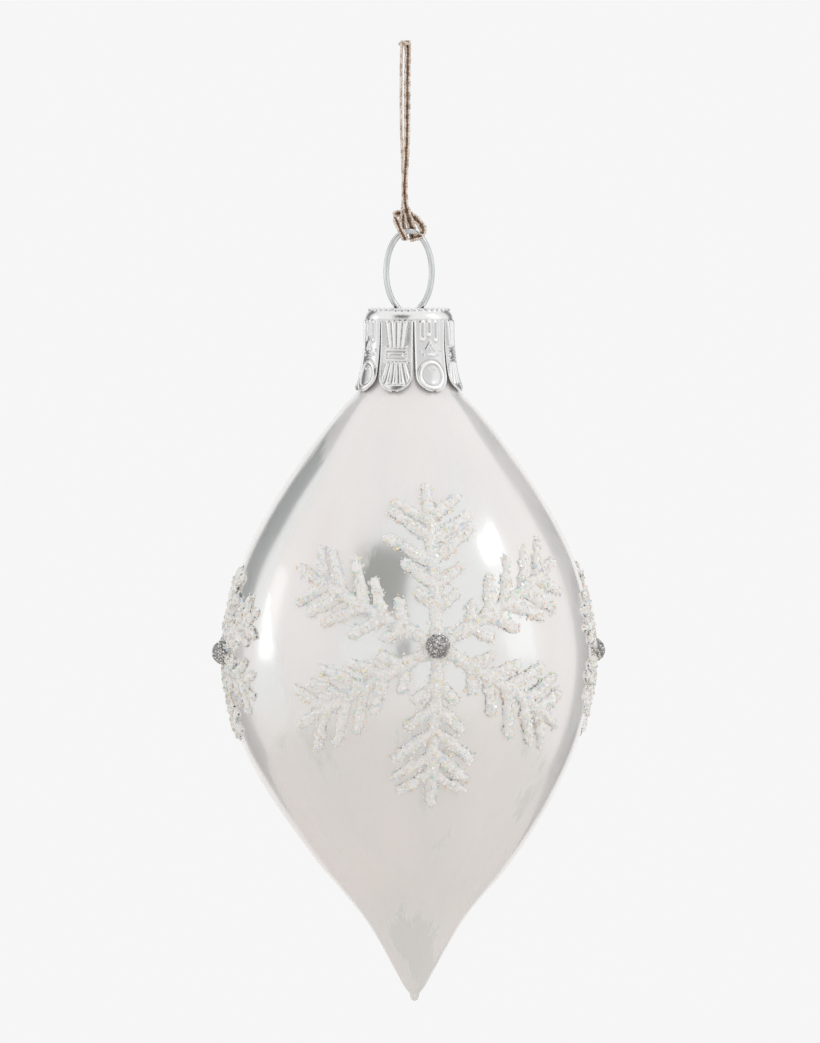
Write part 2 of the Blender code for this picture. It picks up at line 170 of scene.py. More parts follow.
# Flutes: top, bottom, count, pitch at the top, growth of the pitch, run in, run out
FAN_FLUTES = [
    (0.3, 6.0, 4, 1.49, -0.10, 0.5, 0.8),
    (8.5, 13.3, 5, 0.92, 0.14, 0.5, 0.6),
]
FAN_FEATURES = [
    ((-2.3, 6.25), (2.3, 6.25), 0.2, 0, 1), ((-2.3, 8.2), (2.3, 8.2), 0.2, 0, 1),
    ((-2.2, 6.55), (2.2, 6.55), 0.16, 0.8, 1), ((-2.2, 7.9), (2.2, 7.9), 0.16, 0.8, 1),
    ((-1.4, 7.22), (1.4, 7.22), 0.5, 0, 0.5), ((-1.3, 7.22), (1.3, 7.22), 0.2, 0.8, 1),
]
FAN_FEATURES += [
    ((hand * 2.4, level), (hand * 2.5, level), 0.28, 0, 1)
    for hand in (-1, 1) for level in (5.6, 6.7, 7.3, 7.9, 8.8)
]
BOSS_RELIEF = 0.40
BOSS_FEATURES = [
    feature
    for x, low in ((-2.0, 4.4), (-0.35, 3.5), (1.45, 4.6))
    for feature in (((x, 0.9), (x, low - 0.5), 0.85, 0, 0.5), ((x, 1.2), (x, low - 0.9), 0.42, 0.75, 0.5))
]
BOSS_FEATURES += [((foot, 6.2), (-0.1, 4.6), 0.34, 0, 1) for foot in (-1.2, 1.0)]
BOSS_FEATURES += [((-1.0, 7.2), (1.2, 7.35), 0.27, 0, 1)]
BOSS_FEATURES += [
    ((x, y), (x + 0.05, y), 0.38, 0, 1)
    for x, y in ((-2.5, 6.7), (-1.7, 7.3), (1.9, 7.1), (2.6, 6.3), (-0.1, 6.1))
]
BOSS_DROP_MM = 11.2
BOSS_RING_MM = 2.5
BOSS_RING_HALF_MM = 0.44
BOSS_GROOVES = {"outer": (3.1, 0.26, 0.8), "inner": (1.95, 0.22, 0.75)}
BOSS_STRETCH = 1.12
BOSS_DOTS = [((x, BOSS_DROP_MM - 1.15), (x + 0.05, BOSS_DROP_MM - 1.15), 0.3, 0, 1) for x in (-0.8, 0.7)]

# Spring hanger
WIRE_DIAMETER = 1.15 * MM
RING_HALF_WIDTH = 4.55 * MM
RING_HALF_HEIGHT = 8.15 * MM
RING_CENTRE_Z = -46.2 * MM
RING_FOOT_DEG = 60
RING_STEPS = 24
WIRE_SPAN_STEPS = 8
WIRE_SPACING = 0.35 * MM
WIRE_SIDES = 20
LEG_ROUTE_MM = [
    (1.6, -54.8), (1.5, -56.4), (2.1, -58.6), (3.6, -62.8), (5.2, -67.5), (6.1, -72.0), (5.7, -75.0),
]

# Cord: each half runs from the middle of the hitch's bridge round the wire loop and up to the knot.
# A point is (x, y, z) and the direction across the flat cord there.
RIB_OFFSET = 0.37 * MM
RIB_WEAVE = 0.05 * MM
HITCH_TOP_Z = -33.5 * MM
HITCH_SWELL = 1.2
WEAVE_PITCH = 2.3 * MM
PLY_RADIUS = 0.17 * MM
PLY_ORBIT = 0.12 * MM
PLY_PITCH = 1.3 * MM
CORE_RADIUS = 0.28 * MM
CORD_STEP = 0.2 * MM
CORD_SPAN_STEPS = 24
STRAND_SIDES = 6
HITCH_GAP_LEFT = 0.85               # how far the ribs spread in the hitch, as a share of their usual gap
HITCH_GAP_RIGHT = 1.15
HALF_LEFT_MM = [
    ((-0.9, 1.75, -34.7), (0, 0, 1)), ((-2.2, 1.4, -34.5), (0, 0.2, 1)),
    ((-2.8, -0.1, -34.9), (-0.3, 0.2, 0.9)), ((-2.4, -1.3, -36.3), (0.9, 0.3, 0.3)),
    ((-1.5, -1.4, -38.2), (1, 0, 0.3)), ((-0.9, -0.6, -39.4), (1, 0, 0.2)),
    ((-0.8, 0.5, -39.6), (1, 0, 0)), ((-1.1, 1.4, -38.3), (1, 0, 0)), ((-1.3, 0.9, -36.0), (0.8, 0.6, 0)),
    ((-1.25, 0.5, -33.5), (0.3, 1, 0)), ((-1.1, 0.55, -30.0), (0.1, 1, 0)), ((-1.2, 0.5, -27.0), (0.1, 1, 0)),
    ((-1.55, 0.2, -18.0), (0, 1, 0)), ((-1.6, 0.1, -9.0), (0.1, 1, 0)), ((-1.5, 0.0, -1.6), (0.1, 1, 0)),
    ((-1.4, 0.0, -0.7), (0.1, 1, 0)),
]
HALF_RIGHT_MM = [
    ((-0.9, 1.75, -34.7), (0, 0, 1)), ((0.3, 1.5, -34.9), (0.1, 0.1, 1)),
    ((1.4, 0.9, -35.7), (0.5, 0.2, 0.8)), ((2.3, -0.1, -36.7), (0.6, 0.3, 0.6)),
    ((2.8, -1.2, -38.0), (0.9, 0.3, 0)), ((2.2, -1.55, -38.95), (0.6, 0, 0.8)),
    ((1.1, -0.7, -39.4), (0.3, 0.3, 0.9)), ((0.8, 0.5, -39.4), (0.8, 0, 0.6)), ((0.7, 1.3, -38.2), (1, 0, 0)),
    ((0.1, 0.7, -36.0), (1, 0, 0)), ((-0.6, -0.4, -33.5), (1, 0, 0)), ((-0.9, -0.5, -30.0), (1, 0, 0)),
    ((-0.8, -0.5, -27.0), (1, 0, 0)), ((-0.4, -0.2, -19.0), (1, 0, 0)), ((-0.35, 0.0, -10.0), (1, 0.1, 0)),
    ((-0.25, 0.0, -1.6), (1, 0, 0)), ((-0.3, 0.0, -0.7), (1, 0, 0)),
]
KNOT_TOP_Z = 0.0
KNOT_FOOT_Z = -1.5 * MM
KNOT_WRAP_Z = (-0.95 * MM, -0.35 * MM)
WRAP_TURNS = 3
WRAP_STEPS = 40
WRAP_HALF_WIDTH = 1.15 * MM
WRAP_HALF_DEPTH = 0.72 * MM
WRAP_RADIUS = 0.12 * MM

# Camera: almost level, far back, framed on the whole ornament
CAMERA_DISTANCE = 2.2
CAMERA_ELEVATION = math.radians(2.0)
FRAME_HEIGHT = 208.6 * MM
FRAME_CENTRE = Vector((0.2 * MM, 0.0, -96.1 * MM))
SENSOR = 36.0

# Studio, in metres: azimuth and elevation in degrees, distance, width, height, then watts or colour
STUDIO_CENTRE = Vector((0, 0, -0.12))
SOFTBOXES = {
    "right_softbox": (76, 14, 1.15, 0.62, 0.66, 0.30),
    "high_right_softbox": (71, 38, 1.1, 0.34, 0.20, 0.30),
    "left_strip": (-101, 10, 1.1, 0.26, 0.46, 0.26),
}
CARDS = {
    "dark_card_left": (-139, 5, 1.2, 0.56, 1.6, (0.21, 0.23, 0.235)),
    "dark_card_right": (142, 5, 1.2, 0.56, 1.6, (0.24, 0.26, 0.265)),
    "dark_card_front": (-21, 33, 1.5, 0.95, 0.75, (0.13, 0.14, 0.115)),
    "dark_card_camera": (-3, 4, 1.5, 0.24, 0.24, (0.015, 0.015, 0.01)),
}
SKY_STOPS = [
    (0.0, (0.84, 0.78, 0.74)), (0.30, (0.90, 0.86, 0.83)), (0.43, (0.921, 0.921, 0.921)),
    (1.0, (0.921, 0.921, 0.921)),
]
FLOOR_RADIUS = 0.45
FLOOR_Z = -0.34
FLOOR_CORNERS = 64
FLOOR_COLOUR = (0.76, 0.72, 0.69)


# ---------------------------------------------------------------- shared shapes

def catmull_rom(points, steps):
    """A centripetal Catmull-Rom curve through the points, with this many steps on each span."""
    knots = [Vector(point) for point in points]
    knots = [2 * knots[0] - knots[1]] + knots + [2 * knots[-1] - knots[-2]]
    curve = []
    for p0, p1, p2, p3 in zip(knots, knots[1:], knots[2:], knots[3:]):
        t1 = (p1 - p0).length ** 0.5
        t2 = t1 + (p2 - p1).length ** 0.5
        t3 = t2 + (p3 - p2).length ** 0.5
        for step in range(steps):
            t = t1 + (t2 - t1) * step / steps
            a1 = p0 + (p1 - p0) * (t / t1)
            a2 = p1 + (p2 - p1) * ((t - t1) / (t2 - t1))
            a3 = p2 + (p3 - p2) * ((t - t2) / (t3 - t2))
            b1 = a1 + (a2 - a1) * (t / t2)
            b2 = a2 + (a3 - a2) * ((t - t1) / (t3 - t1))
            curve.append(b1 + (b2 - b1) * ((t - t1) / (t2 - t1)))
    curve.append(knots[-2])
    return curve


def even_points(curve, spacing):
    """Points an even distance apart along a polyline, both ends kept."""
    lengths = [0.0]
    for start, end in zip(curve, curve[1:]):
        lengths.append(lengths[-1] + (end - start).length)
    count = max(2, round(lengths[-1] / spacing))
    places = []
    span = 0
    for step in range(count + 1):
        target = lengths[-1] * step / count
        while span < len(curve) - 2 and lengths[span + 1] < target:
            span += 1
        share = (target - lengths[span]) / (lengths[span + 1] - lengths[span])
        places.append(curve[span].lerp(curve[span + 1], min(1.0, share)))
    return places


def in_metres(points_mm):
    return [Vector(point) * MM for point in points_mm]


def mesh_object(name, vertices, faces, material, smooth=True):
    mesh = bpy.data.meshes.new(name)
    mesh.from_pydata([tuple(v) for v in vertices], [], [tuple(f) for f in faces])
    mesh.update()
    mesh.polygons.foreach_set("use_smooth", [smooth] * len(mesh.polygons))
    mesh.materials.append(material)
    thing = bpy.data.objects.new(name, mesh)
    bpy.context.scene.collection.objects.link(thing)
    return thing


def grid_faces(rows, columns):
    """Quads between neighbouring rings of points."""
    faces = []
    for row in range(rows - 1):
        for column in range(columns):
            after = (column + 1) % columns
            a, b = row * columns + column, row * columns + after
            faces.append((a, a + columns, b + columns, b))
    return faces


# ---------------------------------------------------------------- material helpers

class Shader:
    """A Principled material and short calls to add nodes to it."""

    def __init__(self, name, **values):
        self.material = bpy.data.materials.new(name)
        self.material.use_nodes = True
        self.tree = self.material.node_tree
        self.out = self.tree.nodes["Principled BSDF"]
        for key, value in values.items():
            self.out.inputs[key.replace("_", " ")].default_value = value

    def node(self, kind, **values):
        node = self.tree.nodes.new(kind)
        for key, value in values.items():
            node.inputs[key.replace("_", " ")].default_value = value
        return node

    def link(self, source, target):
        self.tree.links.new(source, target)

    def place(self, scale=(1, 1, 1), along=None):
        """Object coordinates, or a vector stored on the mesh, stretched by scale."""
        if along is None:
            source = self.node("ShaderNodeTexCoord").outputs["Object"]
        else:
            stored = self.node("ShaderNodeAttribute")
            stored.attribute_name = along
            source = stored.outputs["Vector"]
        mapping = self.node("ShaderNodeMapping")
        mapping.inputs["Scale"].default_value = scale
        self.link(source, mapping.inputs["Vector"])
        return mapping.outputs["Vector"]

    def noise(self, scale, stretch=(1, 1, 1), detail=3.0, roughness=0.5, along=None):
        """Noise over object coordinates, or over a vector stored on the mesh when along names one."""
        node = self.node("ShaderNodeTexNoise", Scale=scale, Detail=detail, Roughness=roughness)
        self.link(self.place(stretch, along), node.inputs["Vector"])
        return node.outputs["Fac"]

    def ramp(self, source, stops):
        """Colour stops of (position, (r, g, b)) or of (position, value)."""
        node = self.node("ShaderNodeValToRGB")
        elements = node.color_ramp.elements
        while len(elements) < len(stops):
            elements.new(0.5)
        for element, (position, colour) in zip(elements, stops):
            element.position = position
            if not isinstance(colour, tuple):
                colour = (colour, colour, colour)
            element.color = (*colour, 1.0)
        self.link(source, node.inputs["Fac"])
        return node.outputs["Color"]

    def bump(self, source, strength, distance):
        node = self.node("ShaderNodeBump", Strength=strength, Distance=distance)
        self.link(source, node.inputs["Height"])
        self.link(node.outputs["Normal"], self.out.inputs["Normal"])


# ---------------------------------------------------------------- materials

def pearl_glass_material():
    """Silvered glass under a pearl lacquer, brushed on unevenly so that some silver is left bare."""
    shader = Shader("pearl_silvered_glass", Coat_Roughness=0.09, Coat_IOR=1.5)
    strokes = shader.noise(48.0, (1, 1, 0.42), 5.0, 0.55, along="meridian")
    bare = shader.ramp(strokes, [(0.39, 1.0), (0.43, 0.0)])
    tone = shader.ramp(strokes, [
        (0.39, (0.865, 0.87, 0.86)), (0.45, (0.895, 0.875, 0.86)), (0.60, (0.93, 0.895, 0.88)),
        (0.72, (0.91, 0.86, 0.84)),
    ])
    shader.link(tone, shader.out.inputs["Base Color"])
    shader.link(shader.ramp(bare, [(0.0, 0.24), (1.0, 0.60)]), shader.out.inputs["Metallic"])
    shader.link(shader.ramp(bare, [(0.0, 0.22), (1.0, 0.18)]), shader.out.inputs["Roughness"])
    lacquer = shader.noise(95.0, (1, 1, 0.5), 5.0, 0.62, along="meridian")
    shader.link(shader.ramp(lacquer, [(0.46, 1.0), (0.54, 0.35)]), shader.out.inputs["Coat Weight"])
    ripple = shader.noise(45.0, (1, 1, 0.3), 2.0, 0.5, along="meridian")
    shader.bump(ripple, 0.25, 0.0012)
    return shader.material


def paste_material():
    """White paste full of fine glitter."""
    shader = Shader("white_glitter_paste", Roughness=0.5, Subsurface_Weight=0.35, Subsurface_Scale=0.0012)
    shader.out.inputs["Subsurface Radius"].default_value = (1.0, 0.9, 0.8)
    lump = shader.noise(500.0, (1, 1, 1), 4.0, 0.6)
    tone = shader.ramp(lump, [(0.3, (0.93, 0.905, 0.875)), (0.6, (0.985, 0.965, 0.945))])
    shader.link(tone, shader.out.inputs["Base Color"])
    grain = shader.node("ShaderNodeTexVoronoi", Scale=2600.0)
    shader.link(shader.place(), grain.inputs["Vector"])
    shader.bump(grain.outputs["Distance"], 0.2, 0.0002)
    return shader.material


def glitter_material(name, stops, roughness, metallic):
    """Small flakes, each with its own tint from a face attribute."""
    shader = Shader(name, Roughness=roughness, Metallic=metallic)
    tint = shader.node("ShaderNodeAttribute")
    tint.attribute_name = "tint"
    shader.link(shader.ramp(tint.outputs["Fac"], stops), shader.out.inputs["Base Color"])
    return shader.material


def jewel_base_material():
    shader = Shader("dark_glitter_binder", Roughness=0.35, Metallic=0.5)
    speck = shader.noise(3000.0, (1, 1, 1), 2.0, 0.6)
    tone = shader.ramp(speck, [(0.35, (0.16, 0.155, 0.15)), (0.7, (0.42, 0.41, 0.40))])
    shader.link(tone, shader.out.inputs["Base Color"])
    shader.bump(speck, 0.5, 0.0002)
    return shader.material


def cap_material():
    """Bright thin stamped sheet, with painted shade: its colour darkens into the hollows of the stamping and
    brightens on the raised parts.
    """
    shader = Shader("stamped_bright_sheet", Metallic=1.0)
    relief = shader.node("ShaderNodeAttribute")
    relief.attribute_name = "relief"
    # Painted shade: the colour follows the stored relief, dark in the hollows and bright on the raised parts.
    tone = shader.ramp(relief.outputs["Fac"], [
        (0.0, (0.26, 0.245, 0.23)), (0.18, (0.50, 0.485, 0.465)), (0.42, (0.72, 0.72, 0.73)),
        (0.9, (0.95, 0.945, 0.935)),
    ])
    shader.link(tone, shader.out.inputs["Base Color"])
    worn = shader.noise(420.0, (1, 1, 1), 4.0, 0.6)
    shader.link(shader.ramp(worn, [(0.3, 0.30), (0.7, 0.16)]), shader.out.inputs["Roughness"])
    fine = shader.noise(1500.0, (1, 1, 0.5), 2.0, 0.5)
    shader.bump(fine, 0.15, 0.0001)
    return shader.material


def wire_material():
    """Drawn bright wire with faint lengthwise marks."""
    shader = Shader("drawn_bright_wire", Metallic=1.0)
    marks = shader.noise(1500.0, (1, 1, 0.2), 3.0, 0.6)
    tone = shader.ramp(marks, [(0.3, (0.62, 0.64, 0.645)), (0.7, (0.78, 0.80, 0.805))])
    shader.link(tone, shader.out.inputs["Base Color"])
    shader.link(shader.ramp(marks, [(0.3, 0.24), (0.7, 0.14)]), shader.out.inputs["Roughness"])
    shader.bump(marks, 0.1, 0.00005)
    return shader.material


def ply_material(name, dark, light, roughness, metallic):
    """A metallic yarn of twisted flat film."""
    shader = Shader(name, Roughness=roughness, Metallic=metallic)
    film = shader.noise(1500.0, (1, 1, 0.6), 3.0, 0.6)
    shader.link(shader.ramp(film, [(0.36, dark), (0.56, light)]), shader.out.inputs["Base Color"])
    shader.bump(film, 0.3, 0.00006)
    return shader.material


# ---------------------------------------------------------------- glass

def glass_lean(height):
    share = (LEAN_TOP_Z - height) / (LEAN_TOP_Z - LEAN_END_Z)
    share = min(1.0, max(0.0, share))
    return TIP_LEAN * share * share * (3 - 2 * share)


class GlassSide:
    """The glass outline at even steps, for turning it and for laying things on it."""

    def __init__(self):
        self.curve = even_points(catmull_rom(in_metres(GLASS_PROFILE_MM), CURVE_STEPS), SIDE_STEP)
        self.step = (self.curve[1] - self.curve[0]).length
        self.spots = np.array(self.curve)
        along = np.gradient(self.spots, axis=0)
        along /= np.linalg.norm(along, axis=1)[:, None]
        self.normals = np.stack([-along[:, 1], along[:, 0]], axis=1)

    def length_at(self, height):
        return float(np.argmin(np.abs(self.spots[:, 1] - height))) * self.step

    def lay(self, azimuth, centre_z, across, along, lift):
        """World places of points given across and along the glass from a centre, and above it."""
        across, along, lift = (np.asarray(values, float) for values in (across, along, lift))
        place = (self.length_at(centre_z) - along) / self.step
        known = np.arange(len(self.spots))
        spots = np.stack([np.interp(place, known, self.spots[:, k]) for k in (0, 1)], axis=-1)
        out = np.stack([np.interp(place, known, self.normals[:, k]) for k in (0, 1)], axis=-1)
        turn = azimuth + across / spots[..., 0]
        radius = spots[..., 0] + lift * out[..., 0]
        height = spots[..., 1] + lift * out[..., 1]
        lean = np.vectorize(glass_lean)(height)
        return np.stack([radius * np.sin(turn) + lean, -radius * np.cos(turn), height], axis=-1)


def make_glass(side):
    """The hollow drop, with the slight waves of hand-blown glass."""
    outer = even_points(catmull_rom(in_metres(GLASS_PROFILE_MM), CURVE_STEPS), GLASS_RING_PITCH)
    inner = []
    for before, here, after in zip(outer, outer[1:], outer[2:]):
        along = (after - before).normalized()
        if here.x > CAVITY_END_RADIUS:
            inner.append(here + GLASS_WALL * Vector((along.y, -along.x)))
    profile = [Vector((CAVITY_FLOOR_RADIUS, inner[-1].y - GLASS_WALL))] + inner[::-1] + outer[:-1]
    profile.append(Vector((NUB_END_RADIUS, outer[-1].y)))
    vertices, meridian = [], []
    for spot in profile:
        spread = math.sqrt(spot.x * BELLY_RADIUS)
        for segment in range(GLASS_SEGMENTS):
            angle = 2 * math.pi * segment / GLASS_SEGMENTS
            way = Vector((math.sin(angle), -math.cos(angle), 0))
            place = Vector((way.x * WAVE_ROUND, way.y * WAVE_ROUND, spot.y * WAVE_ALONG))
            wave = noise.noise(place) * WAVE_HEIGHT
            wave *= min(1.0, spot.x / WAVE_FULL_RADIUS)
            radius = spot.x + wave
            vertices.append((radius * way.x + glass_lean(spot.y), radius * way.y, spot.y))
            meridian += [spread * way.x, spread * way.y, spot.y]
    faces = grid_faces(len(profile), GLASS_SEGMENTS)
    last = (len(profile) - 1) * GLASS_SEGMENTS
    faces.append(tuple(range(GLASS_SEGMENTS)))
    faces.append(tuple(range(last + GLASS_SEGMENTS - 1, last - 1, -1)))
    glass = mesh_object("pearl_glass", vertices, faces, pearl_glass_material())
    layer = glass.data.attributes.new("meridian", "FLOAT_VECTOR", "POINT")
    layer.data.foreach_set("vector", meridian)
    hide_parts("glass_drop")
    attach(glass, "glass")


# ---------------------------------------------------------------- snowflakes

def flake_strokes(flake, dice):
    """The piped strokes of one snowflake: start, end, start width and end width."""
    strokes = []
    first, last = (flake["width"] * share for share in ARM_STROKE)
    barb_first, barb_last = (flake["width"] * share for share in BARB_STROKE)
    for turn in range(ARMS):
        heading = math.radians(360 / ARMS * turn + 90 + dice.uniform(-ARM_TURN_DEG, ARM_TURN_DEG))
        arm = flake["arm"] * dice.uniform(ARM_LEAST_SHARE, 1.0)
        ahead = np.array((math.cos(heading), math.sin(heading)))
        strokes.append((np.zeros(2), arm * ahead, first, last))
        for root, length in flake["barbs"]:
            for hand in (-1, 1):
                start = ahead * arm * (root + dice.uniform(-BARB_SLIP, BARB_SLIP))
                bend = math.radians(dice.uniform(-BARB_TURN_DEG, BARB_TURN_DEG))
                way = heading + hand * (BARB_ANGLE + bend)
                reach = arm * length * dice.uniform(*BARB_REACH)
                end = start + reach * np.array((math.cos(way), math.sin(way)))
                strokes.append((start, end, barb_first, barb_last))
    hub = flake["hub"] * HUB_STROKE
    strokes.append((np.zeros(2), np.array((0.0, HUB_LENGTH)), hub, hub))
    return strokes


def paste_height(across, along, strokes):
    """Height of the piped paste over flat places, under zero beyond its edge."""
    height = np.full(across.shape, -1.0)
    swell, pitch = STROKE_BEAD
    for start, end, first, last in strokes:
        way = end - start
        length = np.hypot(*way)
        ahead = (across - start[0]) * way[0] + (along - start[1]) * way[1]
        share = np.clip(ahead / length ** 2, 0, 1)
        distance = np.hypot(across - start[0] - share * way[0], along - start[1] - share * way[1])
        half = first + (last - first) * share
        beads = 1 + swell * np.sin(share * length / pitch + start[0] * STROKE_BEAD_SHIFT)
        rise = 1 - (distance / (half * beads)) ** 2
        height = np.maximum(height, rise)
    return np.where(height > 0, np.maximum(height, 0) ** PASTE_ROUNDNESS, height)


def flat_noise(across, along, fineness, seed):
    """Noise at every place of a flat grid. Each seed gives its own pattern."""
    values = [
        noise.noise(Vector((x * fineness, y * fineness, seed))) for x, y in zip(across.flat, along.flat)
    ]
    return np.array(values).reshape(across.shape)


def make_paste(name, azimuth, flake, side, dice, material):
    """The piped paste as a raised skin that dips under the glass at its edges."""
    reach = flake["arm"] + PASTE_MARGIN
    count = int(2 * reach / PASTE_CELL) + 1
    line = (np.arange(count) - (count - 1) / 2) * PASTE_CELL
    across, along = np.meshgrid(line, line)
    seed = dice.uniform(0, 50)
    fineness, wobble = PASTE_WARP
    lump_fineness, lump_share = PASTE_LUMPS
    warp_across = flat_noise(across, along, fineness, seed)
    warp_along = flat_noise(across, along, fineness, seed + 9)
    lumps = flat_noise(across, along, lump_fineness, seed + 20)
    strokes = flake_strokes(flake, dice)
    shape = paste_height(across + warp_across * wobble, along + warp_along * wobble, strokes)
    lift = PASTE_HEIGHT * shape * (1 + lump_share * lumps)
    lift = np.maximum(lift, -PASTE_SINK)
    keep = shape > PASTE_KEPT
    places = side.lay(azimuth, flake["centre_z"], across, along, lift)
    cells = keep[:-1, :-1] & keep[1:, :-1] & keep[:-1, 1:] & keep[1:, 1:]
    rows, columns = np.nonzero(cells)
    corner = rows * count + columns
    faces = np.stack([corner, corner + 1, corner + count + 1, corner + count], axis=1)
    used, renumbered = np.unique(faces, return_inverse=True)
    vertices = places.reshape(-1, 3)[used]
    paste = mesh_object("paste_" + name, vertices, renumbered.reshape(-1, 4), material)
    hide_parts("snowflake_" + name)
    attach(paste, "glass")
    return across, along, lift, shape


def scatter(name, places, normals, sizes, dice, thickness, material):
    """Little six-sided flakes lying on a surface at random tilts."""
    corners = np.array([(math.cos(a), math.sin(a)) for a in np.arange(6) * math.pi / 3])
    vertices, faces, tints = [], [], []
    for place, normal, size in zip(places, normals, sizes):
        normal = Vector(normal).normalized()
        lean = Vector((dice.uniform(-1, 1), dice.uniform(-1, 1), dice.uniform(-1, 1))) * GLITTER_TILT
        facing = (normal + lean).normalized()
        right = facing.orthogonal().normalized()
        up = facing.cross(right)
        base = len(vertices)
        centre = Vector(place)
        for level in (0, 1):
            for x, y in corners:
                spot = centre + (right * x + up * y) * size + facing * (thickness * (level - 0.3))
                vertices.append(spot)
        faces.append([base + 6 + k for k in range(6)])
        faces.append([base + 5 - k for k in range(6)])
        for k in range(6):
            after = (k + 1) % 6
            faces.append([base + k, base + after, base + 6 + after, base + 6 + k])
        tints += [dice.random()] * 8
    thing = mesh_object(name, vertices, faces, material, smooth=False)
    layer = thing.data.attributes.new("tint", "FLOAT", "FACE")
    layer.data.foreach_set("value", tints)
    return thing


def make_glitter(name, azimuth, flake, side, paste, dice, material):
    """Clear and tinted glitter strewn over the paste, with a little spilt on the glass beside it."""
    across, along, lift, shape = paste
    raised = np.argwhere(shape > GLITTER_ON_PASTE)
    far, near = GLITTER_BESIDE
    beside = np.argwhere((shape < near) & (shape > far))
    spilt = flake["grains"] // GLITTER_SPILT
    picks = [raised[dice.randrange(len(raised))] for _ in range(flake["grains"])]
    picks += [beside[dice.randrange(len(beside))] for _ in range(spilt)]
    u = np.array([across[r, c] + dice.uniform(-0.5, 0.5) * PASTE_CELL for r, c in picks])
    v = np.array([along[r, c] + dice.uniform(-0.5, 0.5) * PASTE_CELL for r, c in picks])
    h = np.array([max(GLITTER_LIFT, lift[r, c]) for r, c in picks])
    places = side.lay(azimuth, flake["centre_z"], u, v, h)
    normals = side.lay(azimuth, flake["centre_z"], u, v, h + 1 * MM) - places
    least, spread = GLITTER_SIZE
    sizes = [least + spread * dice.random() ** 2 for _ in picks]
    glitter = scatter("glitter_" + name, places, normals, sizes, dice, GLITTER_THICKNESS, material)
    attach(glitter, "glass")


def make_jewel(name, azimuth, flake, side, dice, base_material, glitter):
    """A rounded bead covered in silver glitter, sunk a little into the paste."""
    base = side.lay(azimuth, flake["centre_z"], 0.0, 0.0, JEWEL_BASE)
    top = side.lay(azimuth, flake["centre_z"], 0.0, 0.0, JEWEL_BASE + JEWEL_HEIGHT)
    outward = Vector(top - base).normalized()
    stand = Matrix.Translation(Vector(base)) @ outward.to_track_quat("Z", "Y").to_matrix().to_4x4()
    vertices, places, normals = [], [], []
    for ring in range(JEWEL_RINGS + 1):
        angle = math.pi / 2 * (JEWEL_TOP_SHARE + (1 - JEWEL_TOP_SHARE) * ring / JEWEL_RINGS)
        radius = JEWEL_RADIUS * math.sin(angle) ** JEWEL_FULLNESS
        for column in range(JEWEL_COLUMNS):
            turn = 2 * math.pi * column / JEWEL_COLUMNS
            spot = Vector((radius * math.cos(turn), radius * math.sin(turn), JEWEL_HEIGHT * math.cos(angle)))
            vertices.append(stand @ spot)
    faces = grid_faces(JEWEL_RINGS + 1, JEWEL_COLUMNS)
    faces.append(tuple(range(JEWEL_COLUMNS - 1, -1, -1)))
    bead = mesh_object("bead_" + name, vertices, faces, base_material)
    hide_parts("jewel_" + name)
    for _ in range(JEWEL_GRAINS):
        angle = math.acos(dice.uniform(0.02, 1.0))
        turn = dice.uniform(0, 2 * math.pi)
        way = Vector((math.sin(angle) * math.cos(turn), math.sin(angle) * math.sin(turn), math.cos(angle)))
        places.append(stand @ Vector((JEWEL_RADIUS * way.x, JEWEL_RADIUS * way.y, JEWEL_HEIGHT * way.z)))
        normals.append(stand.to_3x3() @ way)
    sizes = [dice.uniform(*JEWEL_GRAIN_SIZE) for _ in places]
    silver = scatter("silver_glitter_" + name, places, normals, sizes, dice, JEWEL_GRAIN_THICKNESS, glitter)
    for piece in (bead, silver):
        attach(piece, "glass")


def make_flakes(side):
    paste = paste_material()
    clear = glitter_material("iridescent_glitter", [
        (0.0, (0.97, 0.95, 0.94)), (0.55, (0.98, 0.98, 0.97)), (0.68, (0.98, 0.78, 0.66)),
        (0.80, (0.98, 0.93, 0.70)), (0.90, (0.70, 0.93, 0.82)), (1.0, (0.72, 0.78, 0.99)),
    ], roughness=0.12, metallic=0.15)
    silver = glitter_material("silver_glitter", [
        (0.0, (0.20, 0.19, 0.18)), (0.35, (0.55, 0.54, 0.53)), (0.6, (0.78, 0.77, 0.76)),
        (1.0, (0.98, 0.98, 0.98)),
    ], roughness=0.15, metallic=1.0)
    binder = jewel_base_material()
    for name, (quarter, flake) in FLAKES.items():
        dice = random.Random(DICE_SEED + quarter)
        azimuth = math.radians(FLAKE_TURN_DEG + quarter)
        field = make_paste(name, azimuth, flake, side, dice, paste)
        make_glitter(name, azimuth, flake, side, field, dice, clear)
        make_jewel(name, azimuth, flake, side, dice, binder, silver)


# ---------------------------------------------------------------- cap and wire

def ridge(distance, half_width):
    return max(0.0, 1 - (distance / half_width) ** 2)


def bar(s, t, start, end, half_width):
    """A raised line between two places on a petal."""
    way = (end[0] - start[0], end[1] - start[1])
    share = ((s - start[0]) * way[0] + (t - start[1]) * way[1]) / (way[0] ** 2 + way[1] ** 2)
    share = min(1.0, max(0.0, share))
    return ridge(math.hypot(s - start[0] - share * way[0], t - start[1] - share * way[1]), half_width)


def flutes(s, count, pitch):
    """Rounded lobes side by side with sharp hollows between, from 0 to 1."""
    place = s / pitch + count / 2
    if not 0 < place < count:
        return FLUTE_GAP
    return 1 - (2 * (place % 1) - 1) ** 2


def stamp(height, s, t, features):
    """The height after each raised line and groove in turn."""
    for start, end, half_width, depth, power in features:
        line = bar(s, t, start, end, half_width) ** power
        height = min(height, 1 - depth * line) if depth else max(height, line)
    return height


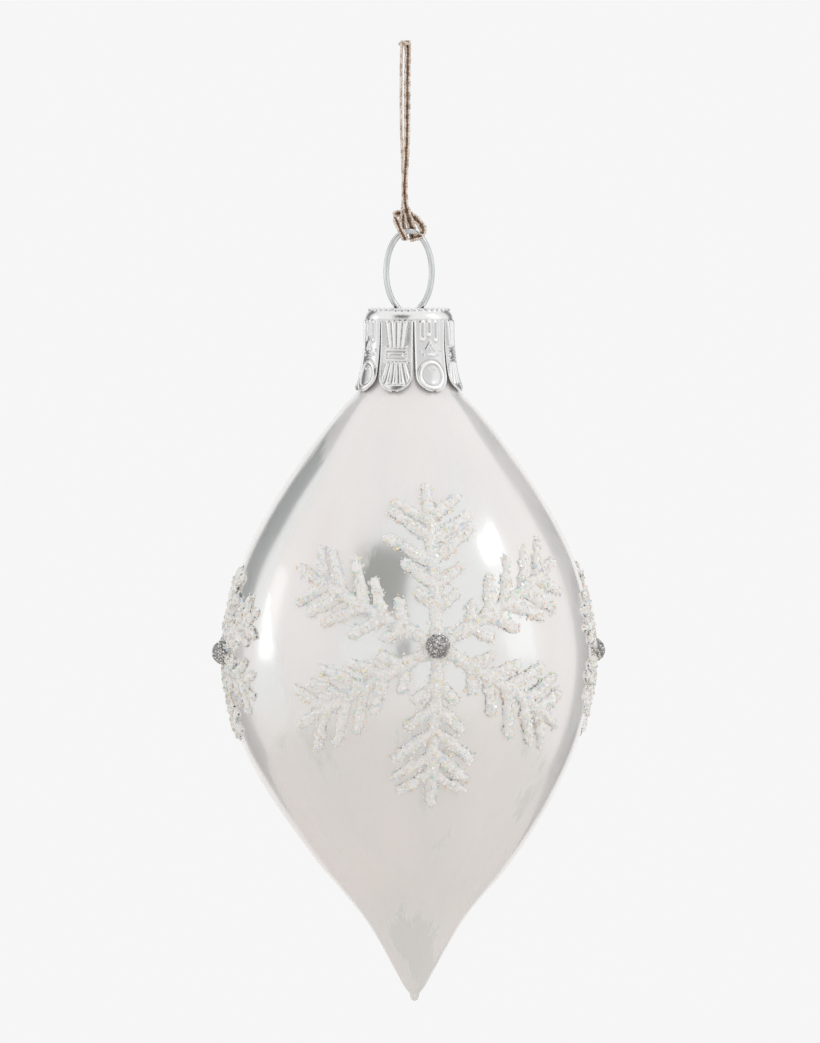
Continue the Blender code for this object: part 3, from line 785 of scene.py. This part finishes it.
def fan_emboss(s, t):
    """Long flutes, a framed bar and a spreading fan. s is mm across the petal and t is mm down it."""
    height = FAN_RELIEF if t < FAN_TIP_MM else FAN_TIP_RELIEF
    for top, bottom, count, pitch, growth, run_in, run_out in FAN_FLUTES:
        if top < t < bottom:
            ends = min(1.0, (t - top) / run_in, (bottom - t) / run_out)
            height += (flutes(s, count, pitch + growth * (t - top)) - 0.5) * ends
    return stamp(height, s, t, FAN_FEATURES)


def boss_emboss(s, t):
    """U-shaped flutes, a small crown with dots, and a ringed boss at the tip."""
    height = stamp(BOSS_RELIEF, s, t, BOSS_FEATURES)
    ring = math.hypot(s / BOSS_STRETCH, t - BOSS_DROP_MM)
    radius, half_width, depth = BOSS_GROOVES["outer"]
    height = min(height, 1 - depth * ridge(ring - radius, half_width))
    height = max(height, ridge(ring - BOSS_RING_MM, BOSS_RING_HALF_MM) ** 0.5)
    radius, half_width, depth = BOSS_GROOVES["inner"]
    height = min(height, 1 - depth * ridge(ring - radius, half_width))
    return stamp(height, s, t, BOSS_DOTS)


def petal_half_width(height):
    """Half the width of a petal at a height, rounded at its tip."""
    pitch = math.pi * PETAL_ROUND / PETALS
    round_z = PETAL_TIP_Z + PETAL_TIP_RADIUS
    share = (SLIT_TOP_Z - height) / (SLIT_TOP_Z - round_z)
    half = pitch - SLIT_TOP_HALF - (SLIT_LOW_HALF - SLIT_TOP_HALF) * min(1.0, max(0.0, share))
    if height < round_z:
        half *= math.sqrt(max(1e-6, 1 - ((round_z - height) / PETAL_TIP_RADIUS) ** 2))
    return half


def petal_relief(petal, s, t, half):
    """How far the stamping stands up, from 0 in the hollows to 1, with a raised border round the petal."""
    relief = boss_emboss(s, t) if petal % 2 == 0 else fan_emboss(s, t)
    inset = half - abs(s)
    groove, groove_half = PETAL_GROOVE_MM
    relief = min(relief, 1 - PETAL_GROOVE_DEPTH * ridge(inset - groove, groove_half))
    return max(relief, ridge(inset, PETAL_BORDER_MM) ** 0.5) if t > EMBOSS_FADE_MM else relief


def make_cap():
    """The stamped cap: beaded rim, rounded shoulder and eight embossed petals, in one thin sheet."""
    side = even_points(catmull_rom(in_metres(CAP_PROFILE_MM), CAP_SPAN_STEPS), CAP_ROW_PITCH)
    side[0].x = CAP_MIDDLE_RADIUS
    rim = Vector(CAP_RIM_MM) * MM
    columns = PETAL_COLUMNS + 1
    step_angle = 2 * math.pi / PETALS
    vertices, reliefs = [], []
    for index, spot in enumerate(side):
        along = side[min(index + 1, len(side) - 1)] - side[max(index - 1, 0)]
        out = Vector((-along.y, along.x)).normalized()
        half = petal_half_width(spot.y)
        down = (PETAL_TOP_Z - spot.y) / MM
        rim_rise = RIM_BEAD_RISE * ridge((spot - rim).length, RIM_BEAD_RADIUS)
        for petal in range(PETALS):
            for column in range(columns):
                u = 2 * column / PETAL_COLUMNS - 1
                angle = PETAL_TURN + step_angle * (petal + 0.5) + u * half / PETAL_ROUND
                relief = PLAIN_RELIEF
                rise = rim_rise * (0.5 + 0.5 * math.cos(RIM_BEADS * angle))
                if rim_rise > 0:
                    relief = RIM_RELIEF + (1 - RIM_RELIEF) * rise / RIM_BEAD_RISE
                if down > 0:
                    relief = petal_relief(petal, u * half / MM, down, half / MM)
                    rise = EMBOSS * (relief - 0.5) * min(1.0, down / EMBOSS_FADE_MM)
                radius = spot.x + rise * out.x
                vertices.append((radius * math.sin(angle), -radius * math.cos(angle), spot.y + rise * out.y))
                reliefs.append(relief)
    total = PETALS * columns
    faces = []
    for row in range(len(side) - 1):
        for column in range(total):
            in_slit = column % columns == columns - 1
            if in_slit and side[row + 1].y < SLIT_TOP_Z:
                continue
            after = (column + 1) % total
            a, b = row * total + column, row * total + after
            corner = vertices[a]
            if abs(corner[0]) < WIRE_SLOT_HALF[0] and abs(corner[1]) < WIRE_SLOT_HALF[1]:
                continue
            faces.append((a, a + total, b + total, b))
    cap = mesh_object("stamped_cap", vertices, faces, cap_material())
    # The relief is kept on the mesh for the painted shade in the cap's colour.
    layer = cap.data.attributes.new("relief", "FLOAT", "POINT")
    layer.data.foreach_set("value", reliefs)
    sheet = cap.modifiers.new("sheet", "SOLIDIFY")
    sheet.thickness = CAP_SHEET
    sheet.offset = -1.0
    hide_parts("crown_cap")
    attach(cap, "cap")


def hanger_route():
    loop = []
    first = -90 - (90 - RING_FOOT_DEG)
    last = -90 + (90 - RING_FOOT_DEG) - 360
    for step in range(RING_STEPS + 1):
        angle = math.radians(first + (last - first) * step / RING_STEPS)
        x = RING_HALF_WIDTH * math.cos(angle)
        z = RING_CENTRE_Z + RING_HALF_HEIGHT * math.sin(angle)
        loop.append(Vector((x, 0.0, z)))
    leg = [Vector((x, 0.0, z)) * MM for x, z in LEG_ROUTE_MM]
    left_leg = [Vector((-spot.x, 0.0, spot.z)) for spot in leg[::-1]]
    return even_points(catmull_rom(left_leg + loop + leg, WIRE_SPAN_STEPS), WIRE_SPACING)


def tube_rings(route, across, radius, sides):
    """Points of rings round a route. across and radius give a side direction and a size at each point."""
    vertices = []
    for index, spot in enumerate(route):
        along = (route[min(index + 1, len(route) - 1)] - route[max(index - 1, 0)]).normalized()
        side = (across[index] - across[index].dot(along) * along).normalized()
        up = along.cross(side)
        for step in range(sides):
            angle = 2 * math.pi * step / sides
            vertices.append(spot + radius[index] * (math.cos(angle) * side + math.sin(angle) * up))
    return vertices


def tube_faces(rings, sides, base=0):
    faces = []
    for ring in range(rings - 1):
        for step in range(sides):
            after = (step + 1) % sides
            a = base + ring * sides
            faces.append((a + step, a + after, a + sides + after, a + sides + step))
    faces.append(tuple(base + step for step in range(sides - 1, -1, -1)))
    faces.append(tuple(base + (rings - 1) * sides + step for step in range(sides)))
    return faces


def make_wire():
    route = hanger_route()
    count = len(route)
    vertices = tube_rings(route, [Vector((0, 1, 0))] * count, [WIRE_DIAMETER / 2] * count, WIRE_SIDES)
    wire = mesh_object("bright_hanger_wire", vertices, tube_faces(count, WIRE_SIDES), wire_material())
    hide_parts("hanger_wire")
    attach(wire, "hanger")


# ---------------------------------------------------------------- cord

def cord_route(points):
    """An even centreline through the points, and the direction across the flat cord all along it."""
    places = catmull_rom([Vector(place) * MM for place, _ in points], CORD_SPAN_STEPS)
    route = even_points(places, CORD_STEP)
    lengths = [0.0]
    for start, end in zip(places, places[1:]):
        lengths.append(lengths[-1] + (end - start).length)
    stops = [lengths[index * CORD_SPAN_STEPS] for index in range(len(points))]
    across = []
    for index in range(len(route)):
        target = lengths[-1] * index / (len(route) - 1)
        span = min(len(points) - 2, sum(stop <= target for stop in stops) - 1)
        share = (target - stops[span]) / (stops[span + 1] - stops[span])
        share = share * share * (3 - 2 * share)
        first, second = Vector(points[span][1]).normalized(), Vector(points[span + 1][1]).normalized()
        across.append(first.lerp(second, share).normalized())
    return route, across


def cord_mesh(name, route, across, materials, hitch_gap=1.0):
    """A flat cord: two ribs, each of two twisted bright plies, that close and open over a core strand
    coloured dark as painted shade between and under the ribs.
    """
    light, dark = materials
    strands = [(0, 0)] + [(rib, ply) for rib in (-1, 1) for ply in (0, 1)]
    vertices, faces, slots = [], [], []
    for rib, ply in strands:
        line, frames, radii = [], [], []
        for index, spot in enumerate(route):
            in_hitch = spot.z < HITCH_TOP_Z
            swell = HITCH_SWELL if in_hitch else 1.0
            along = (route[min(index + 1, len(route) - 1)] - route[max(index - 1, 0)]).normalized()
            side = (across[index] - across[index].dot(along) * along).normalized()
            up = along.cross(side)
            run = index * CORD_STEP
            offset = Vector((0, 0, 0))
            if rib:
                apart = RIB_OFFSET + RIB_WEAVE * math.sin(2 * math.pi * run / WEAVE_PITCH)
                apart *= swell * (hitch_gap if in_hitch else 1.0)
                angle = rib * 2 * math.pi * run / PLY_PITCH + ply * math.pi
                orbit = PLY_ORBIT * swell
                offset = side * (rib * apart + orbit * math.cos(angle)) + up * (orbit * math.sin(angle))
            line.append(spot + offset)
            frames.append(side)
            radii.append(swell * (PLY_RADIUS if rib else CORE_RADIUS))
        new_faces = tube_faces(len(line), STRAND_SIDES, len(vertices))
        vertices += tube_rings(line, frames, radii, STRAND_SIDES)
        faces += new_faces
        slots += [0 if rib else 1] * len(new_faces)
    thing = mesh_object(name, vertices, faces, light)
    thing.data.materials.append(dark)
    thing.data.polygons.foreach_set("material_index", slots)
    return thing


def make_cord():
    light = ply_material("champagne_film_yarn", (0.50, 0.38, 0.29), (0.95, 0.85, 0.76), roughness=0.38,
                         metallic=0.35)
    # The core's dark brown is painted shade, for the shaded gap between and under the ribs.
    dark = ply_material("dark_core_painted_shade", (0.07, 0.035, 0.018), (0.26, 0.15, 0.09), roughness=0.5,
                        metallic=0.3)
    halves = [
        ("cord_half_left", HALF_LEFT_MM, HITCH_GAP_LEFT, ("cord_strand_left", "cord_hitch")),
        ("cord_half_right", HALF_RIGHT_MM, HITCH_GAP_RIGHT, ("cord_strand_right",)),
    ]
    for name, points, hitch_gap, nodes in halves:
        route, across = cord_route(points)
        half = cord_mesh(name, route, across, (light, dark), hitch_gap)
        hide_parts(*nodes)
        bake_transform(half)
    make_knot((light, dark))


def make_knot(materials):
    """The joined top of both strands: their ends side by side, bound with a few turns and cut flat."""
    for name, points in (("cord_end_left", HALF_LEFT_MM), ("cord_end_right", HALF_RIGHT_MM)):
        (x, y, _), way = points[-1]
        top = Vector((x * MM, y * MM, KNOT_TOP_Z))
        foot = Vector((x * MM, y * MM, KNOT_FOOT_Z))
        route = even_points([top, foot], CORD_STEP)
        end = cord_mesh(name, route, [Vector(way).normalized()] * len(route), materials)
        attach(end, "knot")
    low, high = KNOT_WRAP_Z
    centre = (HALF_LEFT_MM[-1][0][0] + HALF_RIGHT_MM[-1][0][0]) / 2 * MM
    wrap = []
    for step in range(WRAP_TURNS * WRAP_STEPS + 1):
        angle = 2 * math.pi * step / WRAP_STEPS
        height = low + (high - low) * step / (WRAP_TURNS * WRAP_STEPS)
        x = centre + WRAP_HALF_WIDTH * math.cos(angle)
        wrap.append(Vector((x, WRAP_HALF_DEPTH * math.sin(angle), height)))
    count = len(wrap)
    vertices = tube_rings(wrap, [Vector((0, 0, 1))] * count, [WRAP_RADIUS] * count, STRAND_SIDES)
    binding = mesh_object("cord_binding", vertices, tube_faces(count, STRAND_SIDES), materials[0])
    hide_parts("cord_knot")
    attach(binding, "knot")


# ---------------------------------------------------------------- studio

def make_camera():
    data = bpy.data.cameras.new("camera")
    data.lens = SENSOR * CAMERA_DISTANCE / FRAME_HEIGHT
    data.sensor_width = SENSOR
    camera = bpy.data.objects.new("camera", data)
    bpy.context.scene.collection.objects.link(camera)
    back = Vector((0, -math.cos(CAMERA_ELEVATION), math.sin(CAMERA_ELEVATION)))
    camera.location = FRAME_CENTRE + back * CAMERA_DISTANCE
    camera.rotation_euler = (-back).to_track_quat("-Z", "Y").to_euler()
    bpy.context.scene.camera = camera


def studio_place(azimuth, elevation, distance):
    """A place round the ornament. Azimuth 0 is the camera's side and 90 is to its right."""
    a, e = math.radians(azimuth), math.radians(elevation)
    way = Vector((math.sin(a) * math.cos(e), -math.cos(a) * math.cos(e), math.sin(e)))
    return STUDIO_CENTRE + distance * way


def add_softbox(name, azimuth, elevation, distance, width, height, watts):
    data = bpy.data.lights.new(name, "AREA")
    data.shape = "RECTANGLE"
    data.size = width
    data.size_y = height
    data.energy = watts
    lamp = bpy.data.objects.new(name, data)
    bpy.context.scene.collection.objects.link(lamp)
    lamp.location = studio_place(azimuth, elevation, distance)
    lamp.rotation_euler = (STUDIO_CENTRE - lamp.location).to_track_quat("-Z", "Y").to_euler()


def add_card(name, azimuth, elevation, distance, width, height, colour):
    """A matt card out of the camera's sight, for the glass and metal to reflect."""
    material = bpy.data.materials.new(name)
    material.use_nodes = True
    shader = material.node_tree.nodes["Principled BSDF"]
    shader.inputs["Base Color"].default_value = (*colour, 1.0)
    shader.inputs["Roughness"].default_value = 1.0
    corners = [(x * width / 2, y * height / 2, 0) for x, y in ((-1, -1), (1, -1), (1, 1), (-1, 1))]
    card = mesh_object(name, corners, [(0, 1, 2, 3)], material, smooth=False)
    card.location = studio_place(azimuth, elevation, distance)
    card.rotation_euler = (STUDIO_CENTRE - card.location).to_track_quat("Z", "Y").to_euler()
    card.visible_camera = False
    card.visible_shadow = False


def make_studio():
    scene = bpy.context.scene
    scene.view_settings.view_transform = "Standard"
    world = bpy.data.worlds.new("studio")
    scene.world = world
    world.use_nodes = True
    background = world.node_tree.nodes["Background"]
    background.inputs["Strength"].default_value = 1.0
    way = world.node_tree.nodes.new("ShaderNodeTexCoord")
    split = world.node_tree.nodes.new("ShaderNodeSeparateXYZ")
    sky = world.node_tree.nodes.new("ShaderNodeValToRGB")
    shift = world.node_tree.nodes.new("ShaderNodeMapRange")
    shift.inputs["From Min"].default_value = -1.0
    world.node_tree.links.new(way.outputs["Generated"], split.inputs["Vector"])
    world.node_tree.links.new(split.outputs["Z"], shift.inputs["Value"])
    world.node_tree.links.new(shift.outputs["Result"], sky.inputs["Fac"])
    world.node_tree.links.new(sky.outputs["Color"], background.inputs["Color"])
    while len(sky.color_ramp.elements) < len(SKY_STOPS):
        sky.color_ramp.elements.new(0.5)
    for element, (position, colour) in zip(sky.color_ramp.elements, SKY_STOPS):
        element.position = position
        element.color = (*colour, 1.0)
    for name, values in SOFTBOXES.items():
        add_softbox(name, *values)
    for name, values in CARDS.items():
        add_card(name, *values)
    material = bpy.data.materials.new("pale_floor")
    material.use_nodes = True
    shader = material.node_tree.nodes["Principled BSDF"]
    shader.inputs["Base Color"].default_value = (*FLOOR_COLOUR, 1.0)
    shader.inputs["Roughness"].default_value = 0.8
    turns = [2 * math.pi * corner / FLOOR_CORNERS for corner in range(FLOOR_CORNERS)]
    ring = [(FLOOR_RADIUS * math.cos(turn), FLOOR_RADIUS * math.sin(turn), FLOOR_Z) for turn in turns]
    floor = mesh_object("pale_floor", ring, [tuple(range(FLOOR_CORNERS))], material, smooth=False)


# ---------------------------------------------------------------- build

make_camera()
make_studio()
make_cord()
make_wire()
make_cap()

glass_side = GlassSide()
make_glass(glass_side)
make_flakes(glass_side)
